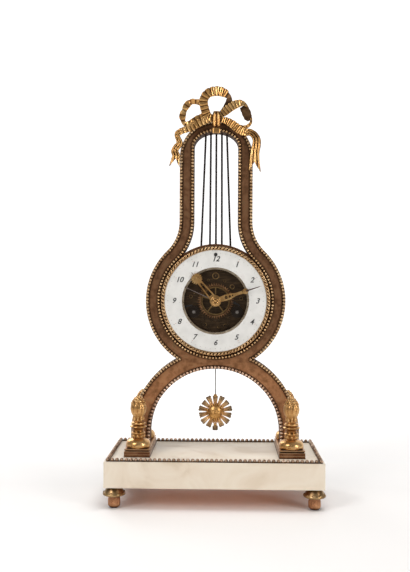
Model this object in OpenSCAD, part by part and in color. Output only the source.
// Lyre mantel clock: marble base, patinated lyre frame, open-centre dial,
// two-train striking movement and a sunburst pendulum.
// Millimetres, +Z up, origin at the bottom centre, front faces -Y.

/* [Base] */
// Width of the marble slab, side to side
base_w = 250; // [236:1:320]
// Depth of the marble slab, front to back
base_d = 125; // [122:1:170]
// Thickness of the marble slab
base_t = 29.5; // [20:0.5:45]
// Width of the gilt bead border on the slab
border_w = 4; // [3:0.5:6]
// Height of the gilt bead border
border_h = 3; // [2:0.5:4]
// Distance of the bead border in from the slab's edge
border_inset = 2; // [1:0.5:4]

/* [Feet] */
// Height of each foot
foot_h = 25; // [20:0.5:40]
// Radius of a foot's flared cap
foot_r = 13; // [11:0.5:14]
// Radius of a foot's peg
foot_peg_r = 7; // [5:0.5:8]
// Distance of a foot's axis in from the slab's sides
foot_inset_x = 10.5; // [10:0.5:20]
// Distance of a foot's axis in from the slab's front and back
foot_inset_y = 13; // [13:0.5:18]
// Radius of the stud that holds a foot
foot_stud_r = 2.5; // [2:0.25:3.5]

/* [Plinths and finials] */
// Width of a plinth block
plinth_w = 30; // [29:0.5:36]
// Depth of a plinth block
plinth_d = 88; // [86:1:100]
// Height of a plinth block
plinth_h = 9.5; // [7:0.5:14]
// Distance between a finial's axis and the frame's middle plane
finial_reach = 29.5; // [28:0.25:30]
// Height of a finial
finial_h = 60; // [50:1:75]
// Radius of a finial's round base
finial_r = 14.5; // [12:0.25:14.5]
// Radius of a finial's bud
bud_r = 9.8; // [8:0.2:11]
// Radius of the studs that run through the slab
stud_r = 3; // [2.5:0.25:3.5]

/* [Lyre frame] */
// Thickness of the frame, front to back
frame_t = 18; // [15:0.5:20]
// Place of the frame's middle plane behind the slab's middle
frame_y = 6; // [4:0.5:8]
// Height of the dial's centre above the floor
dial_z = 236; // [230:1:244]
// Outer radius of the ring round the dial
ring_r = 84; // [82:0.5:90]
// Half width across the uprights
upright_hw = 43.9; // [40:0.1:48]
// Radius of the hollow curve between upright and ring
shoulder_r = 49.3; // [40:0.1:60]
// Height of the centre of the round top
top_z = 409; // [395:1:425]
// Rise of the middle of the opening's flat top over the round top's centre
crest_up = 12; // [8:0.5:14]
// How much the opening's top is flatter than a half circle
crest_flat = 8; // [4:0.5:10]
// Width of the lyre's band with its two bead rows
band_w = 17.5; // [16:0.5:19]
// Outer radius of the arch
arch_r = 101; // [98:0.5:103]
// Width of the arch's band
arch_w = 23; // [22:0.5:27]
// Height of the arch's centre above the plinths
arch_rise = 12.3; // [10:0.1:20]
// Width of a bead row
bead_w = 4; // [3:0.25:5]
// How far a bead row stands out of the frame's face
bead_h = 3; // [2:0.25:4]
// Radius of the frame's bore behind the dial
bore_r = 58; // [56:0.5:59]
// Radius of the ring's edge inside the upper opening
inner_ring_r = 68.5; // [67.5:0.5:70]

/* [Strings and ribbon] */
// Radius of a string
string_r = 1; // [0.8:0.05:1.2]
// Spread of the outer strings at the top, either side
string_top = 12.6; // [10:0.2:15]
// Spread of the outer strings at the ring, either side
string_low = 17.8; // [15:0.2:20]
// Spread of the inner strings at the top, either side
string_mid_top = 6.6; // [5:0.2:8]
// Spread of the inner strings at the ring, either side
string_mid_low = 7.2; // [5:0.2:9]
// Width of the ribbon
ribbon_w = 9; // [7:0.5:11]
// Depth of the ribbon, front to back
ribbon_t = 6; // [4:0.5:8]
// Width of the clasp that ties the bow to the frame
clasp_w = 9.6; // [8:0.2:12]

/* [Dial and hands] */
// Outer radius of the enamel ring
enamel_r = 61; // [60:0.25:62]
// Radius of the enamel ring's open centre
dial_open_r = 40.3; // [39:0.25:42]
// Thickness of the enamel
enamel_t = 1.6; // [1.2:0.1:2]
// Width of the bezel
bezel_w = 4.6; // [3.5:0.1:4.8]
// How far the bezel stands out of the frame's face
bezel_h = 6; // [4:0.25:7]
// Width of the gilt rim in the dial's open centre
rim_w = 2.4; // [1.5:0.1:3]
// Length of the minute hand
minute_len = 57; // [52:0.5:59]
// Length of the hour hand
hour_len = 46; // [42:0.5:50]
// Length of the date hand
date_len = 41; // [36:0.5:46]
// Rest angle of the minute hand, clockwise from 12
minute_rest = 71.6; // [0:0.1:360]
// Rest angle of the hour hand, clockwise from 12
hour_rest = 319.5; // [0:0.1:360]
// Rest angle of the date hand, clockwise from 12
date_rest = 294; // [0:0.1:360]

/* [Movement] */
// Radius of the movement's plates
plate_r = 52; // [51:0.5:54]
// Thickness of a movement plate
plate_t = 2; // [1.5:0.1:2.2]
// Clear distance between the plates
plate_gap = 24; // [24:0.1:25]
// Distance of the front plate behind the frame's face
plate_back = 7; // [6.8:0.1:7.5]
// Radius of a spring barrel
barrel_r = 17; // [15:0.25:18]
// Radius of an arbor
arbor_r = 1.1; // [0.9:0.05:1.2]
// Radius of a pivot
pivot_r = 0.6; // [0.4:0.05:0.75]
// Running clearance of a pivot or pipe in its hole, all round
run = 0.08; // [0.05:0.01:0.1]
// Radius of the bell
bell_r = 26; // [22:0.5:27]
// Depth of the bell
bell_d = 13.5; // [10:0.5:15]

/* [Pendulum] */
// Length from the suspension to the middle of the bob
pendulum_len = 182.6; // [175:0.1:190]
// Radius of the pendulum rod
pendulum_rod_r = 0.75; // [0.6:0.05:0.9]
// Radius of the sunburst bob
bob_r = 21.5; // [16:0.5:24]
// Radius of the rating nut
rating_r = 3.4; // [2.5:0.1:4.5]

/* [Hidden] */
$fn = 64;

gilt = "goldenrod";
bronze = "saddlebrown";
brass = "darkkhaki";
steel = "slategray";
seat = 0.05;

// Heights of the base
slab_z = foot_h;
slab_top = slab_z + base_t;
plinth_top = slab_top + plinth_h;
arch_z = plinth_top + arch_rise;
foot_x = base_w / 2 - foot_inset_x;
foot_y = base_d / 2 - foot_inset_y;
plinth_shift = 0.5;
plinth_x = arch_r - arch_w / 2 + plinth_shift;
foot_stud_len = 12;
nut_r = 6;
nut_h = 5;
nut_tail = 4;
stud_up = 14;

// Depths, front to back
face_y = frame_y - frame_t / 2;
frame_back = frame_y + frame_t / 2;
dial_plate_t = 1;
enamel_back = face_y - dial_plate_t;
enamel_face = enamel_back - enamel_t;
front_y0 = face_y + plate_back;
front_y1 = front_y0 + plate_t;
back_y0 = front_y1 + plate_gap;
back_y1 = back_y0 + plate_t;
shake = 0.2;
light_arbor_r = 0.9;
swing_y = back_y1 + 6;
arm_y = swing_y + 3.2;
arm_t = 2.2;
bell_y = arm_y + arm_t + 1;

// Hands, from the dial outwards
hand_t = 0.8;
date_t = 0.4;
date_y1 = enamel_face - 0.4;
hour_y1 = date_y1 - date_t - 0.8;
minute_y1 = hour_y1 - hand_t - 1;
collet_h = 2;
cannon_pipe_r = 2.2;
pipe_wall = 0.9;
hour_pipe_r = cannon_pipe_r + run;
date_pipe_r = hour_pipe_r + pipe_wall + run;

function polar(r, a) = [r * cos(a), r * sin(a)];
function arc(c, r, a0, a1, n) = [for (i = [0 : n]) c + polar(r, a0 + (a1 - a0) * i / n)];
function flip(pts) = [for (i = [len(pts) - 1 : -1 : 0]) if (abs(pts[i][0]) > 0.001) [-pts[i][0], pts[i][1]]];
function closed(half) = concat(half, flip(half));

// A flat outline in X and Z, made solid from y0 back to y1
module slab(y0, y1) translate([0, y1, 0]) rotate([90, 0, 0]) linear_extrude(y1 - y0) children();
module slabs(y0, y1) for (i = [0 : $children - 1]) slab(y0, y1) children(i);
module bar(y0, y1, r) translate([0, y1, 0]) rotate([90, 0, 0]) cylinder(r = r, h = y1 - y0);
module tube(y0, y1, r_in, r_out) difference() {
    bar(y0, y1, r_out);
    bar(y0 - 1, y1 + 1, r_in);
}
module at_dial(p = [0, 0]) translate([p[0], 0, dial_z + p[1]]) children();

// Lyre outline: top arc, straight uprights, hollow shoulders, ring
shoulder_x = upright_hw + shoulder_r;
function shoulder_lift(inset, ring) = sqrt(pow(ring + shoulder_r + inset, 2) - pow(shoulder_x, 2));
function shoulder_a(inset, ring) = atan2(shoulder_lift(inset, ring), shoulder_x);
top_n = 20;
function round_top(inset) = arc([0, top_z], upright_hw - inset, 90, 0, top_n);
function flat_top(inset) = let (a = upright_hw - inset) [for (p = arc([0, 0], 1, 90, 0, top_n))
    [a * p[0], top_z + crest_up + (a - crest_flat) * p[1]]];
function lyre_half(top, inset, ring) = concat(
    top,
    arc([shoulder_x, dial_z + shoulder_lift(inset, ring)], shoulder_r + inset, 180,
        180 + shoulder_a(inset, ring), 12),
    arc([0, dial_z], ring, shoulder_a(inset, ring), -90, 44));
module lyre_shape(inset, ring) polygon(closed(lyre_half(round_top(inset), inset, ring)));
module flat_shape(inset, ring) polygon(closed(lyre_half(flat_top(inset), inset, ring)));

// The inner bead row goes round the bezel, whatever the dial's size
bezel_gap = 0.2;
row_gap = 0.7;
bezel_in = enamel_r + bezel_gap;
row_in = bezel_in + bezel_w + row_gap;
ring_edge_r = max(inner_ring_r, row_in + bead_w / 2);

// Arch outline: half circle on two straight legs
module arch_shape(r, below = 0)
    polygon(concat(arc([0, arch_z], r, 0, 180, 64), [[-r, plinth_top - below], [r, plinth_top - below]]));
module body_solid(y0, y1, inset) slabs(y0, y1) {
    lyre_shape(inset, ring_r - inset);
    arch_shape(arch_r - inset);
}
module opening_shape() difference() {
    flat_shape(band_w, row_in);
    translate([0, dial_z]) circle(ring_edge_r);
}

// Five strings, each a straight rod from the round top to the ring
string_y = frame_y;
string_n = 5;
string_grip = 4;
open_r = upright_hw - band_w;
function string_x(i, outer, mid) = [-outer, -mid, 0, mid, outer][i];
module string(i, r, grip) {
    xt = string_x(i, string_top, string_mid_top);
    xl = string_x(i, string_low, string_mid_low);
    zt = top_z + crest_up + (open_r - crest_flat) * sqrt(1 - pow(xt / open_r, 2)) + grip;
    zl = dial_z + sqrt(ring_edge_r * ring_edge_r - xl * xl) - grip;
    len = norm([xt - xl, zt - zl]);
    translate([xl, string_y, zl]) rotate([0, atan2(xt - xl, zt - zl), 0]) cylinder(r = r, h = len);
}

// Base
module marble_base() color("ivory") difference() {
    translate([-base_w / 2, -base_d / 2, slab_z]) cube([base_w, base_d, base_t]);
    for (x = [-foot_x, foot_x], y = [-foot_y, foot_y])
        translate([x, y, slab_z - 1]) cylinder(r = foot_stud_r + seat, h = foot_stud_len + 2);
    for (p = stud_places()) translate([p[0], p[1], slab_z - 1]) cylinder(r = stud_r + run, h = base_t + 2);
}
module base_bead_border() color(gilt) translate([0, 0, slab_top]) linear_extrude(border_h) difference() {
    square([base_w - 2 * border_inset, base_d - 2 * border_inset], center = true);
    square([base_w - 2 * border_inset - 2 * border_w, base_d - 2 * border_inset - 2 * border_w],
        center = true);
}

// Turned foot: flared cap over a round-nosed peg, with a stud into the slab
foot_cap_h = 12;
foot_tip_r = 3;
module foot(x, y) color(gilt) translate([x, y, 0]) {
    rotate_extrude() polygon(concat(
        [[0, 0], [foot_tip_r, 0]],
        arc([foot_tip_r, foot_peg_r - foot_tip_r], foot_peg_r - foot_tip_r, -90, 0, 6),
        [[foot_peg_r - 0.5, foot_h - foot_cap_h - 2], [foot_peg_r + 0.8, foot_h - foot_cap_h]],
        arc([foot_r - 2.5, foot_h - foot_cap_h + 2.8], 2.5, -60, 60, 6),
        [[foot_r - 3.8, foot_h - 2.4], [foot_r - 4.4, foot_h], [0, foot_h]]));
    cylinder(r = foot_stud_r, h = foot_h + foot_stud_len);
}
module foot_front_left() foot(-foot_x, -foot_y);
module foot_front_right() foot(foot_x, -foot_y);
module foot_back_left() foot(-foot_x, foot_y);
module foot_back_right() foot(foot_x, foot_y);

// Plinth block with a stepped top
plinth_step = 1.5;
plinth_step_h = 3;
function stud_places() = [for (x = [-plinth_x, plinth_x], d = [-finial_reach, 0, finial_reach])
    [x, frame_y + d]];
module plinth(x) color(gilt) difference() {
    translate([x, frame_y, slab_top]) {
        translate([-plinth_w / 2, -plinth_d / 2, 0]) cube([plinth_w, plinth_d, plinth_h - plinth_step_h]);
        translate([-plinth_w / 2 + plinth_step, -plinth_d / 2 + plinth_step, 0])
            cube([plinth_w - 2 * plinth_step, plinth_d - 2 * plinth_step, plinth_h]);
    }
    for (d = [-finial_reach, 0, finial_reach])
        translate([x, frame_y + d, slab_top - 1]) cylinder(r = stud_r + run, h = plinth_h + 2);
}
module plinth_left() plinth(-plinth_x);
module plinth_right() plinth(plinth_x);

// Turned finial: round base, collar, rings, neck and bud
function finial_profile() = let (h = finial_h / 60) concat(
    [[0, 0], [finial_r - 1.5, 0]],
    arc([finial_r - 4.5, 5 * h], 4.5 * min(1, h), -70, 80, 10),
    [[8.9, 10.4 * h], [8.9, 14.8 * h], [8.2, 15.6 * h], [8.2, 18 * h], [6.9, 18.6 * h], [6.9, 22.2 * h],
        [9.3, 24 * h], [9.3, 25.2 * h], [8.2, 26.2 * h], [8.2, 29.2 * h], [6.2, 30 * h], [6, 33 * h],
        [6.6, 36.2 * h]],
    [for (i = [1 : 14]) let (a = -58 + i * 148 / 14) [bud_r * pow(cos(a), 0.8), (47.5 + 12.5 * sin(a)) * h]]);
module finial(x, y) color(gilt) translate([x, y, plinth_top]) difference() {
    rotate_extrude() polygon(concat(finial_profile(), [[0, finial_h]]));
    translate([0, 0, -1]) cylinder(r = stud_r + seat, h = stud_up + 2);
}
module finial_front_left() finial(-plinth_x, frame_y - finial_reach);
module finial_front_right() finial(plinth_x, frame_y - finial_reach);
module finial_back_left() finial(-plinth_x, frame_y + finial_reach);
module finial_back_right() finial(plinth_x, frame_y + finial_reach);

// Six studs that pull finials, frame, plinths and slab together, each with a nut below
module plinth_bolts() color(steel) for (p = stud_places()) translate([p[0], p[1], 0]) {
    translate([0, 0, slab_z - nut_h - nut_tail])
        cylinder(r = stud_r, h = base_t + plinth_h + nut_h + nut_tail + stud_up);
    translate([0, 0, slab_z - nut_h]) cylinder(r = nut_r, h = nut_h, $fn = 6);
}

// Lyre frame
module lyre_frame() color(bronze) difference() {
    body_solid(face_y, frame_back, 0);
    slabs(face_y - 1, frame_back + 1) {
        arch_shape(arch_r - arch_w, 1);
        opening_shape();
    }
    at_dial() bar(face_y - 1, frame_back + 1, bore_r);
    for (i = [0 : string_n - 1]) string(i, string_r + seat, string_grip);
    for (x = [-plinth_x, plinth_x])
        translate([x, frame_y, plinth_top - 1]) cylinder(r = stud_r + seat, h = stud_up + 2);
}
module outer_bead() color(gilt) difference() {
    body_solid(face_y - bead_h, face_y, 0);
    slabs(face_y - bead_h - 1, face_y + 1) {
        lyre_shape(bead_w, ring_r - bead_w);
        arch_shape(arch_r - bead_w, 1);
    }
}
module inner_bead() color(gilt) slab(face_y - bead_h, face_y) difference() {
    flat_shape(band_w - bead_w, row_in + bead_w);
    flat_shape(band_w, row_in);
}
module arch_bead() color(gilt) slab(face_y - bead_h, face_y) difference() {
    arch_shape(arch_r - arch_w + bead_w);
    arch_shape(arch_r - arch_w);
}
module lyre_strings() color(steel) for (i = [0 : string_n - 1]) string(i, string_r, string_grip);

// Ribbon bow: smooth strips of ribbon along hand-set knots, in front of the round top
function blend_point(p, i, t) = let (n = len(p), a = p[max(i - 1, 0)], b = p[i], c = p[min(i + 1, n - 1)],
    d = p[min(i + 2, n - 1)])
    0.5 * (2 * b + (c - a) * t + (2 * a - 5 * b + 4 * c - d) * t * t + (3 * b - a - 3 * c + d) * t * t * t);
function smooth_path(p, k) = concat([for (i = [0 : len(p) - 2], j = [0 : k - 1]) blend_point(p, i, j / k)],
    [p[len(p) - 1]]);
bow_y1 = face_y - bead_h - 0.2;
bow_y0 = bow_y1 - ribbon_t;
bow_z = top_z + upright_hw;
loop_trim = 2;
bow_loop = [[-2, 6], [-9, 9], [-14.5, 17], [-14, 26], [-7.5, 34], [0, 36], [7.5, 34], [14, 26], [14.5, 17],
    [9, 9], [2, 6]];
bow_left = [[-3, 5], [-12, 11], [-24, 20.5], [-35, 20.5], [-40.5, 10], [-37, -2], [-28, -4], [-16, 2],
    [-4, 3]];
bow_right = [[3, 5], [12, 11], [24, 19.5], [33, 18.5], [38, 8], [34.5, -3], [26, -4.5], [15, 1.5], [4, 3]];
swag_left = [[-4, 2], [-18, -2], [-30, -9], [-38, -14], [-46, -18.5], [-44.5, -27], [-49.5, -34], [-48, -43],
    [-50.5, -54]];
swag_right = [[4, 2], [18, -3], [30, -11], [39, -14], [48, -19], [50.5, -28], [47, -36], [46.5, -46],
    [46.5, -57]];
module ribbon(path, w) {
    p = smooth_path(path, 3);
    for (i = [0 : len(p) - 2]) hull() for (q = [p[i], p[i + 1]]) translate(q) circle(w / 2, $fn = 20);
}
module ribbon_bow() color(gilt) difference() {
    slab(bow_y0, bow_y1) translate([0, bow_z]) {
        ribbon(bow_loop, ribbon_w - loop_trim);
        ribbon(bow_left, ribbon_w - loop_trim);
        ribbon(bow_right, ribbon_w - loop_trim);
        ribbon(swag_left, ribbon_w);
        ribbon(swag_right, ribbon_w);
    }
    clasp_strap(seat);
}

// Clasp: a strap over the round top that holds the bow's knot
clasp_t = 2;
clasp_up = 9;
clasp_down = 17.5;
module clasp_box(x, y0, y1, z0, z1) translate([-x / 2, y0, z0]) cube([x, y1 - y0, z1 - z0]);
module clasp_strap(room) clasp_box(clasp_w + 2 * room, bow_y0 - room, frame_back + clasp_t, bow_z - room,
    bow_z + clasp_t + room);
module ribbon_clasp() color(gilt) {
    clasp_box(clasp_w, bow_y0 - clasp_t, bow_y0, bow_z - clasp_down, bow_z + clasp_up);
    clasp_strap(0);
    clasp_box(clasp_w, frame_back, frame_back + clasp_t, bow_z - clasp_down, bow_z + clasp_t);
}

// Dial
module dial_bezel() color(gilt) at_dial()
    tube(face_y - bezel_h, face_y, bezel_in, bezel_in + bezel_w);
module dial_plate() color(brass) at_dial() {
    difference() {
        tube(enamel_back, face_y, dial_open_r, enamel_r);
        at_screw() bar(enamel_back - 1, face_y + 1, screw_r + run);
    }
    for (a = dial_feet) rotate([0, a, 0]) translate([0, 0, dial_foot_at]) bar(face_y, front_y0, dial_foot_r);
}
dial_feet = [40, 140, 220, 320];
rim_proud = 0.1;
rim_depth = 3;
dial_foot_at = 46.5;
dial_foot_r = 2;
screw_r = 1.2;
screw_head_r = 2.1;
screw_in = 5.4;
screw_at = enamel_r - screw_in;
module at_screw() translate([0, 0, screw_at]) children();
module enamel_dial() color("white") at_dial() difference() {
    tube(enamel_face, enamel_back, dial_open_r, enamel_r);
    at_screw() bar(enamel_face - 1, enamel_back + 1, screw_r + run);
}
module dial_rim() color(gilt) at_dial()
    tube(enamel_face - rim_proud, face_y + rim_depth, dial_open_r - rim_w, dial_open_r);
module dial_screw() color(steel) at_dial() at_screw() {
    bar(enamel_face - 0.7, enamel_face, screw_head_r);
    bar(enamel_face, face_y, screw_r);
}

// Hands, drawn pointing to 12 and turned to their rest angle
module hand_turn(a) at_dial() rotate([0, a, 0]) children();
function star(n, r_tip, r_dip) = [for (i = [0 : 2 * n - 1]) polar(i % 2 == 0 ? r_tip : r_dip, i * 180 / n)];
hub_r = 6.2;
module minute_hand() color(gilt) hand_turn(minute_rest) difference() {
    slabs(minute_y1 - hand_t, minute_y1) {
        circle(hub_r);
        polygon(closed([[0, minute_len], [0.5, minute_len - 15], [3, minute_len - 17.5],
            [3.4, minute_len - 20], [1.7, minute_len - 23], [1.8, minute_len - 32],
            [3.4, minute_len - 38], [3.7, minute_len - 43], [2.8, 3]]));
    }
    bar(minute_y1 - hand_t - 1, minute_y1 + 1, cannon_pipe_r + seat);
    for (p = [[1.9, 13.5], [1.4, 18], [1, 21.5]])
        translate([0, 0, p[1]]) bar(minute_y1 - hand_t - 1, minute_y1 + 1, p[0]);
}
sun_at = 35;
sun_n = 16;
module hour_hand() color(gilt) hand_turn(hour_rest) difference() {
    slabs(hour_y1 - hand_t, hour_y1) {
        circle(hub_r + 0.6);
        polygon(closed([[0, sun_at], [3, sun_at], [3.1, 20], [4.2, 3]]));
        translate([0, sun_at]) polygon(star(sun_n, 7.4, 5.4));
        polygon(closed([[0, hour_len], [1, sun_at]]));
    }
    bar(hour_y1 - hand_t - 1, hour_y1 + 1, hour_pipe_r + pipe_wall + seat);
    slab(hour_y1 - hand_t - 1, hour_y1 + 1) polygon(closed([[0, 28], [0.9, 27], [1.7, 18], [2.2, 8.6]]));
}
module date_hand() color(steel) hand_turn(date_rest) {
    difference() {
        union() {
            bar(date_y1 - date_t, hour_wheel_y0 - shake, date_pipe_r + pipe_wall);
            slab(date_y1 - date_t, date_y1)
                polygon(closed([[0, date_len], [0.9, date_len - 5], [0.35, date_len - 5.6], [0.55, 0]]));
        }
        bar(date_y1 - date_t - 1, hour_wheel_y0, date_pipe_r);
    }
}
collet_y1 = minute_y1 - hand_t;
module hand_collet() color(gilt) at_dial() {
    bar(collet_y1 - collet_h, collet_y1, 4.4);
    bar(collet_y1 - collet_h - 1, collet_y1 - collet_h, 2.4);
}

// Tooth outlines: rows of [radius, share of the pitch], from root to tip
function tooth_ring(n, rows) = [for (i = [0 : n - 1]) each concat(
    [for (r = rows) polar(r[0], (i - r[1] / 2) * 360 / n)],
    [for (k = [len(rows) - 1 : -1 : 0]) polar(rows[k][0], (i + rows[k][1] / 2) * 360 / n)])];
function pitch_r(n, m) = n * m / 2;
function reach(n1, n2, m) = pitch_r(n1, m) + pitch_r(n2, m);
function wheel_rows(n, m) = let (r = pitch_r(n, m))
    [[r - 0.95 * m, 0.5], [r, 0.46], [r + 0.5 * m, 0.34], [r + 0.9 * m, 0.12]];
function pinion_rows(n, m) = let (r = pitch_r(n, m))
    [[r - 1.3 * m, 0.34], [r, 0.34], [r + 0.3 * m, 0.28], [r + 0.5 * m, 0.14]];
function heading(a, b) = atan2(b[1] - a[1], b[0] - a[0]);

// A wheel with spokes; a tooth points along aim
module wheel_shape(n, m, aim, hub, spokes) difference() {
    rotate(aim) polygon(tooth_ring(n, wheel_rows(n, m)));
    if (spokes > 0) difference() {
        circle(pitch_r(n, m) - 0.95 * m - rim_of(n, m));
        circle(hub);
        for (i = [0 : spokes - 1]) rotate(i * 360 / spokes + 18) translate([0, -spoke_w / 2])
            square([pitch_r(n, m), spoke_w]);
    }
}
spoke_w = 1.4;
function rim_of(n, m) = 1.2 + 0.03 * pitch_r(n, m);
// A pinion; a gap points along aim
module pinion_shape(n, m, aim) rotate(aim + 180 / n) polygon(tooth_ring(n, pinion_rows(n, m)));
// An arbor between the plates with a pivot in each
module arbor(r = arbor_r) {
    bar(front_y1 + shake, back_y0 - shake, r);
    bar(front_y0, back_y1, pivot_r);
}

// Train counts and modules
great_n = 80; great_m = 0.5; leaf_n = 10;
second_n = 80; second_m = 0.45;
centre_n = 84; centre_m = 0.4; light_n = 8;
third_n = 80; third_m = 0.35;
escape_n = 40; escape_r = 8.6;
strike_n = 72; strike_m = 0.4;
pin_n = 60; pin_m = 0.35;
hour_n = 60; hour_m = 0.6; cannon_n = 15;
minute_n = 45; minute_m = 0.75;

// Places of the arbors, in X and Z from the dial's centre
function meet(a, ra, b, rb, s) = let (d = norm(b - a), x = (ra * ra - rb * rb + d * d) / (2 * d),
    h = sqrt(ra * ra - x * x), u = (b - a) / d) a + u * x + s * h * [-u[1], u[0]];
barrel_x = 26;
barrel_drop = 13.5;
centre_at = [0, 0];
going_at = [barrel_x, -barrel_drop];
strike_at = [-barrel_x, -barrel_drop];
second_at = meet(centre_at, reach(second_n, leaf_n, second_m), going_at, reach(great_n, leaf_n, great_m), 1);
escape_at = [0, 30.25];
third_at = meet(centre_at, reach(centre_n, light_n, centre_m), escape_at,
    reach(third_n, light_n, third_m), 1);
anchor_at = [0, 43];
strike2_at = strike_at + polar(reach(great_n, leaf_n, great_m), 90);
pin_at = strike2_at + polar(reach(strike_n, leaf_n, strike_m), 100);
fly_at = pin_at + polar(reach(pin_n, light_n, pin_m), 60);
hammer_at = [-42, 14];
minute_at = [0, -reach(hour_n, cannon_n, hour_m)];
arbors = [second_at, third_at, escape_at, anchor_at, strike2_at, pin_at, fly_at, hammer_at];

// Layers of the train, from the front plate backwards
thin = 1.2;
centre_y0 = front_y1 + 1.2;
third_y0 = front_y1 + 6;
escape_y0 = front_y1 + 12;
pin_y0 = front_y1 + 14;
barrel_y0 = front_y1 + 4.5;
great_t = 2;
great_y0 = back_y0 - 5.5;
second_y0 = back_y0 - 2.6;
leaf_over = 0.5;

// Plates, with every pivot hole from the same places
barrel_pivot_r = 3.4;
barrel_tail_r = 2;
centre_arbor_r = 1.8;
pillar_r = 3;
pillar_at = 47;
pillar_turns = [45, 160, 200, 340];
module plate(y0, y1, barrel_hole, centre_hole) difference() {
    at_dial() bar(y0, y1, plate_r);
    for (p = arbors) at_dial(p) bar(y0 - 1, y1 + 1, pivot_r + run);
    for (p = [going_at, strike_at]) at_dial(p) bar(y0 - 1, y1 + 1, barrel_hole + run);
    at_dial() bar(y0 - 1, y1 + 1, centre_hole + run);
    at_pillars() bar(y0 - 1, y1 + 1, pillar_screw_r + seat);
}
pillar_screw_r = 1.5;
module at_pillars() at_dial() for (a = pillar_turns)
    rotate([0, a, 0]) translate([0, 0, pillar_at]) children();
module front_plate() color(brass) {
    plate(front_y0, front_y1, barrel_pivot_r, centre_arbor_r);
    at_dial(minute_at) bar(minute_wheel_y0 - 2.4, front_y0, minute_stud_r);
}
module back_plate() color(brass) difference() {
    plate(back_y0, back_y1, barrel_tail_r, pivot_r);
    at_dial(strike2_at) bar(back_y0 - 1, back_y1 + 1, arbor_r + run);
    at_dial(anchor_at) bar(back_y0 - 1, back_y1 + 1, arbor_r + run);
    at_dial(hammer_at) bar(back_y0 - 1, back_y1 + 1, arbor_r + run);
}
module plate_pillars() color(brass) at_pillars() {
    bar(front_y1, back_y0, pillar_r);
    bar(front_y0, front_y1, pillar_screw_r);
    bar(back_y0, back_y1 + 2.6, pillar_screw_r);
}
module pillar_nuts() color(steel) at_pillars() difference() {
    bar(back_y1, back_y1 + 2, 3.2);
    bar(back_y1 - 1, back_y1 + 3, pillar_screw_r + seat);
}

// Motion work in front of the front plate
minute_stud_r = 1.6;
minute_wheel_y0 = front_y0 - 2.4;
hour_wheel_y0 = minute_wheel_y0 - 2.2;
module cannon_pinion() color(steel) at_dial() difference() {
    union() {
        slab(minute_wheel_y0 - leaf_over, front_y0 - shake)
            pinion_shape(cannon_n, minute_m, heading(centre_at, minute_at));
        bar(collet_y1, minute_wheel_y0, cannon_pipe_r);
    }
    bar(collet_y1 - 1, front_y0 + 1, centre_front_r + seat);
}
module minute_wheel() color(brass) at_dial(minute_at) difference() {
    union() {
        slab(minute_wheel_y0, minute_wheel_y0 + thin)
            wheel_shape(minute_n, minute_m, heading(minute_at, centre_at), 6.4, 5);
        slab(hour_wheel_y0 - leaf_over, minute_wheel_y0)
            pinion_shape(cannon_n, hour_m, heading(minute_at, centre_at));
    }
    bar(hour_wheel_y0 - 2, front_y0, minute_stud_r + run);
}
module hour_wheel() color(brass) at_dial() difference() {
    union() {
        slab(hour_wheel_y0, hour_wheel_y0 + thin)
            wheel_shape(hour_n, hour_m, heading(centre_at, minute_at), 5.4, 5);
        bar(hour_y1 - hand_t, hour_wheel_y0, hour_pipe_r + pipe_wall);
    }
    bar(hour_y1 - hand_t - 1, hour_wheel_y0 + thin + 1, hour_pipe_r);
}

// Spring barrels: a hollow drum on a toothed great wheel, round its winding arbor
barrel_wall = 1.2;
barrel_arbor_r = 3;
module barrel(p, partner) at_dial(p) difference() {
    union() {
        bar(barrel_y0, great_y0, barrel_r);
        slab(great_y0, great_y0 + great_t) wheel_shape(great_n, great_m, heading(p, partner), 0, 0);
    }
    bar(barrel_y0 + barrel_wall, great_y0 - 0.4, barrel_r - barrel_wall);
    bar(barrel_y0 - 1, great_y0 + great_t + 1, barrel_arbor_r + run);
}
module going_barrel() color(brass) barrel(going_at, second_at);
module strike_barrel() color(brass) barrel(strike_at, strike2_at);

// Mainspring: a flat spiral that fills the barrel
spring_turns = 7;
spring_t = 0.5;
function spiral(r0, r1, turns, n) = [for (i = [0 : n]) polar(r0 + (r1 - r0) * i / n, 360 * turns * i / n)];
module mainspring(p) color(steel) at_dial(p) slab(barrel_y0 + barrel_wall + 0.4, great_y0 - 0.8) {
    r0 = barrel_arbor_r + 0.8;
    r1 = barrel_r - barrel_wall - spring_t - 0.3;
    line = spiral(r0, r1, spring_turns, 28 * spring_turns);
    outer = spiral(r0 + spring_t, r1 + spring_t, spring_turns, 28 * spring_turns);
    polygon(concat(line, [for (i = [len(outer) - 1 : -1 : 0]) outer[i]]));
}
module going_mainspring() mainspring(going_at);
module strike_mainspring() mainspring(strike_at);

// Winding arbor with its square and ratchet in front of the plate
square_w = 4.6;
ratchet_n = 24;
ratchet_r = 7.6;
ratchet_t = 1.4;
function ratchet() = [for (i = [0 : ratchet_n - 1]) each [polar(ratchet_r, i * 360 / ratchet_n),
    polar(ratchet_r - 1.1, (i + 0.15) * 360 / ratchet_n)]];
module winding_arbor(p) color(steel) at_dial(p) {
    translate([-square_w / 2, front_y0 - 8, -square_w / 2]) cube([square_w, 8, square_w]);
    slab(front_y0 - shake - ratchet_t, front_y0 - shake) polygon(ratchet());
    bar(front_y0 - shake, front_y1 + shake, barrel_pivot_r);
    bar(front_y1 + shake, back_y0 - shake, barrel_arbor_r);
    bar(back_y0 - shake, back_y1, barrel_tail_r);
}
module going_arbor() winding_arbor(going_at);
module strike_arbor() winding_arbor(strike_at);
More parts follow.
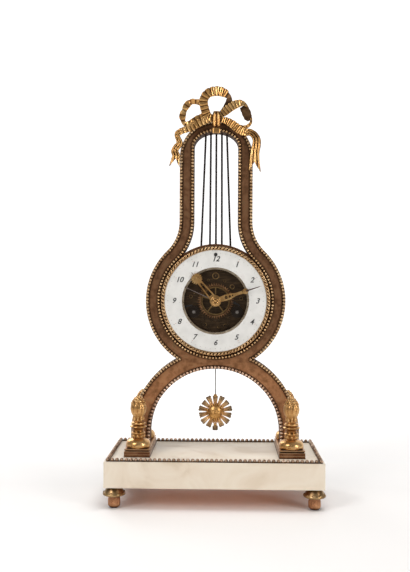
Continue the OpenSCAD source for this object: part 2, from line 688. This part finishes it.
// Clicks: pawls on the front plate, just clear of the ratchets
click_gap = 0.3;
click_len = 9;
module click(p, a) at_dial(p) rotate([0, a, 0]) slabs(front_y0 - ratchet_t, front_y0) {
    translate([-click_len, ratchet_r + 2.2]) circle(1.8);
    translate([0, ratchet_r + click_gap])
        polygon([[0.6, 0], [1, 1], [-click_len, 3.4], [-click_len - 0.6, 0.6]]);
}
module barrel_clicks() color(steel) {
    click(going_at, 20);
    click(strike_at, -20);
}

// Going train
module second_wheel() color(brass) at_dial(second_at) {
    arbor();
    slab(great_y0 - leaf_over, second_y0) pinion_shape(leaf_n, great_m, heading(second_at, going_at));
    slab(second_y0, second_y0 + thin) wheel_shape(second_n, second_m, heading(second_at, centre_at), 4, 5);
}
centre_front_r = 1.5;
module centre_wheel() color(brass) at_dial() {
    bar(front_y0, back_y0 - shake, centre_arbor_r);
    bar(back_y0 - shake, back_y1, pivot_r);
    bar(collet_y1, front_y0, centre_front_r);
    slab(second_y0 - leaf_over, second_y0 + thin + leaf_over)
        pinion_shape(leaf_n, second_m, heading(centre_at, second_at));
    slab(centre_y0, centre_y0 + thin) wheel_shape(centre_n, centre_m, heading(centre_at, third_at), 4.4, 5);
}
module third_wheel() color(brass) at_dial(third_at) {
    arbor();
    slab(centre_y0 - leaf_over, third_y0) pinion_shape(light_n, centre_m, heading(third_at, centre_at));
    slab(third_y0, third_y0 + thin) wheel_shape(third_n, third_m, heading(third_at, escape_at), 3.4, 5);
}
function escape_tooth() = [for (i = [0 : escape_n - 1]) each [
    polar(escape_r - 1.5, (i - 0.35) * 360 / escape_n),
    polar(escape_r, i * 360 / escape_n),
    polar(escape_r - 1.5, (i + 0.1) * 360 / escape_n)]];
module escape_wheel() color(brass) at_dial(escape_at) {
    arbor(light_arbor_r);
    slab(third_y0 - leaf_over, third_y0 + thin + leaf_over)
        pinion_shape(light_n, third_m, heading(escape_at, third_at));
    slab(escape_y0, escape_y0 + thin) difference() {
        polygon(escape_tooth());
        difference() {
            circle(escape_r - 2.8);
            circle(2.4);
            for (i = [0 : 3]) rotate(i * 90) translate([0, -spoke_w / 2]) square([escape_r, spoke_w]);
        }
    }
}

// Anchor on its arbor, with the crutch behind the back plate
arm_hw = 1;
anchor_tip = [9.2, -6.2];
crutch_y0 = back_y1 + 1;
crutch_y1 = crutch_y0 + 1.5;
crutch_len = 29;
fork_gap = pendulum_rod_r + 0.5;
module anchor() color(steel) at_dial(anchor_at) {
    bar(front_y1 + shake, crutch_y1, arbor_r);
    bar(front_y0, front_y1 + shake, pivot_r);
    slab(escape_y0 - 0.4, escape_y0 + thin + 0.4) {
        circle(2.4);
        polygon([[0, 1.8], anchor_tip + [0.6, 1], anchor_tip + [-0.4, -1.8], anchor_tip + [-1.6, -0.4],
            [0, -1.4], [1.6 - anchor_tip[0], anchor_tip[1] - 0.4], [0.4 - anchor_tip[0], anchor_tip[1] - 1.8],
            [-0.6 - anchor_tip[0], anchor_tip[1] + 1]]);
    }
    slab(crutch_y0, crutch_y1) {
        circle(2.6);
        translate([-arm_hw, -crutch_len]) square([2 * arm_hw, crutch_len]);
        translate([-fork_gap - 1.2, -crutch_len - 1]) square([2 * fork_gap + 2.4, 3]);
    }
    for (s = [-1, 1]) translate([s * (fork_gap + 0.6) - 0.6, crutch_y1, -crutch_len - 1])
        cube([1.2, swing_y + 1.4 - crutch_y1, 3]);
}

// Strike train
module strike_wheel() color(brass) at_dial(strike2_at) {
    bar(front_y1 + shake, count_y0 + thin + 1, arbor_r);
    bar(front_y0, front_y1 + shake, pivot_r);
    slab(great_y0 - leaf_over, second_y0) pinion_shape(leaf_n, great_m, heading(strike2_at, strike_at));
    slab(second_y0, second_y0 + thin) wheel_shape(strike_n, strike_m, heading(strike2_at, pin_at), 3.6, 5);
}
// Count wheel: a notched disc whose notches space the hours
count_r = 15;
count_y0 = back_y1 + 1.2;
function count_steps() = [for (h = 1, s = 0; h <= 12; s = s + h, h = h + 1) s];
module count_wheel() color(brass) at_dial(strike2_at) difference() {
    slab(count_y0, count_y0 + thin) difference() {
        circle(count_r);
        for (s = count_steps()) rotate(s * 360 / 78) translate([count_r - 1.6, -0.35]) square([3, 0.7]);
        for (a = [0 : 90 : 270]) rotate(a + 45) translate([count_r * 0.55, 0]) circle(3.2);
    }
    bar(count_y0 - 1, count_y0 + thin + 1, arbor_r + seat);
}
pin_count = 10;
module pin_wheel() color(brass) at_dial(pin_at) {
    arbor();
    slab(second_y0 - leaf_over, second_y0 + thin + leaf_over)
        pinion_shape(leaf_n, strike_m, heading(pin_at, strike2_at));
    slab(pin_y0, pin_y0 + thin) wheel_shape(pin_n, pin_m, heading(pin_at, fly_at), 3.2, 4);
    for (i = [0 : pin_count - 1]) rotate([0, i * 360 / pin_count, 0])
        translate([0, 0, pitch_r(pin_n, pin_m) - 1.4]) bar(pin_y0 - 2, pin_y0 + 0.5, 0.5);
}
fly_r = 6;
fly_len = 9;
module fly() color(brass) at_dial(fly_at) {
    arbor(light_arbor_r);
    slab(pin_y0 - leaf_over, pin_y0 + thin + leaf_over) pinion_shape(light_n, pin_m, heading(fly_at, pin_at));
    translate([-fly_r, front_y1 + 2, -0.3]) cube([2 * fly_r, fly_len, 0.6]);
}
// Hammer: arbor, arm behind the count wheel and a round head beside the bell's rim
hammer_gap = 1.5;
head_r = 4;
head_at = [-bell_r - head_r - hammer_gap, -6];
hammer_y0 = back_y1 + 4;
hammer_t = 2;
module hammer() color(steel) {
    at_dial(hammer_at) {
        bar(front_y1 + shake, hammer_y0 + hammer_t, arbor_r);
        bar(front_y0, front_y1 + shake, pivot_r);
    }
    at_dial() slab(hammer_y0, hammer_y0 + hammer_t) {
        translate(hammer_at) circle(2.6);
        translate(hammer_at) rotate(heading(hammer_at, head_at)) translate([0, -0.9])
            square([norm(head_at - hammer_at), 1.8]);
    }
    at_dial(head_at) bar(hammer_y0, bell_y + 5, head_r);
}

// Bell: a thin domed cup, mouth to the front, on a post
bell_wall = 1.4;
bell_hole_r = 1.6;
bell_gap = 0.15;
function bell_profile(r, d) = [for (i = [0 : 12]) let (a = i * 90 / 12) [r * pow(sin(a), 0.8), d * cos(a)]];
module bell() color(brass) at_dial() translate([0, bell_y, 0]) rotate([-90, 0, 0]) difference() {
    rotate_extrude() polygon(concat(bell_profile(bell_r, bell_d), [[bell_r - bell_wall, 0]],
        [for (i = [12 : -1 : 0]) bell_profile(bell_r - bell_wall, bell_d - bell_wall)[i]]));
    translate([0, 0, -1]) cylinder(r = bell_hole_r + seat, h = bell_d + 2);
}
stand_at = [20, -38];
module bell_stand() color(brass) {
    at_dial(stand_at) bar(back_y1, arm_y + arm_t, 3);
    at_dial() slab(arm_y, arm_y + arm_t) {
        rotate(heading([0, 0], stand_at)) translate([0, -2]) square([norm(stand_at), 4]);
        circle(3);
    }
    at_dial() bar(arm_y, bell_y + bell_d - bell_wall - bell_gap, 2.6);
    at_dial() bar(arm_y, bell_y + bell_d + 2.5, bell_hole_r);
    at_dial() tube(bell_y + bell_d + seat, bell_y + bell_d + 2, bell_hole_r - 0.1, 3.4);
}

// Pendulum: spring in a cock on the back plate, rod, sunburst bob and rating nut
cock_w = 16;
chop_w = 6;
chop_gap = 0.15;
cock_low = anchor_at[1] + 4;
cock_top = plate_r - 2.5;
module suspension_cock() color(brass) at_dial() {
    translate([-cock_w / 2, back_y1, cock_low]) cube([cock_w, swing_y + 4 - back_y1, cock_top - cock_low]);
    translate([-chop_w / 2, swing_y - 2.6, anchor_at[1] + chop_gap])
        cube([chop_w, 5.2, cock_low - anchor_at[1] - chop_gap]);
}
flex_w = 4;
flex_t = 0.3;
flex_len = 9;
block_h = 4;
bob_z = dial_z + anchor_at[1] - pendulum_len;
rating_h = 5;
rating_low = bob_z - bob_r - 1.4;
rod_top = dial_z + anchor_at[1] - flex_len - block_h;
rod_end = rating_low - 0.6;
lug_h = 3;
lug_gap = 0.3;
lug_low = rating_low + rating_h + lug_gap - bob_z;
module suspension_spring() color(steel) at_dial(anchor_at) {
    translate([-flex_t / 2, swing_y - flex_w / 2, -flex_len]) cube([flex_t, flex_w, flex_len]);
    translate([-2, swing_y - 2.4, -flex_len - block_h]) cube([4, 4.8, block_h]);
}
module pendulum_rod() color(steel) translate([0, swing_y, rod_end])
    cylinder(r = pendulum_rod_r, h = rod_top - rod_end);
bob_t = 3;
ray_n = 14;
mask_r = 8.5;
module bob_ray() polygon(closed([[0, bob_r], [2.5, bob_r - 0.5], [1.9, mask_r - 2], [0, mask_r - 2]]));
module pendulum_bob() color(gilt) translate([0, swing_y - pendulum_rod_r - 0.2, bob_z]) {
    for (i = [0 : ray_n - 1]) if (i != ray_n / 2) slab(-bob_t, 0) rotate(i * 360 / ray_n) bob_ray();
    translate([-2, -bob_t, lug_low]) cube([4, bob_t, -lug_low]);
    difference() {
        translate([0, -bob_t + 3.4, 0]) sphere(r = mask_r);
        translate([-bob_r, 0, -bob_r]) cube(2 * bob_r);
    }
    for (z = [lug_low, bob_r - lug_h]) translate([-2, 0, z]) difference() {
        cube([4, 2 * pendulum_rod_r + 1.2, lug_h]);
        translate([2, pendulum_rod_r + 0.2, -1]) cylinder(r = pendulum_rod_r + seat, h = lug_h + 2);
    }
}
module rating_nut() color(gilt) translate([0, swing_y, rating_low]) difference() {
    cylinder(r = rating_r, h = rating_h);
    translate([0, 0, -1]) cylinder(r = pendulum_rod_r + run, h = rating_h + 2);
}

marble_base();
base_bead_border();
foot_front_left();
foot_front_right();
foot_back_left();
foot_back_right();
plinth_left();
plinth_right();
finial_front_left();
finial_front_right();
finial_back_left();
finial_back_right();
plinth_bolts();
lyre_frame();
outer_bead();
inner_bead();
arch_bead();
ribbon_bow();
ribbon_clasp();
lyre_strings();
dial_bezel();
dial_plate();
enamel_dial();
dial_rim();
dial_screw();
minute_hand();
hour_hand();
date_hand();
hand_collet();
front_plate();
back_plate();
plate_pillars();
pillar_nuts();
barrel_clicks();
cannon_pinion();
minute_wheel();
hour_wheel();
going_barrel();
going_mainspring();
going_arbor();
second_wheel();
centre_wheel();
third_wheel();
escape_wheel();
anchor();
strike_barrel();
strike_mainspring();
strike_arbor();
strike_wheel();
count_wheel();
pin_wheel();
fly();
hammer();
bell();
bell_stand();
suspension_cock();
suspension_spring();
pendulum_rod();
pendulum_bob();
rating_nut();
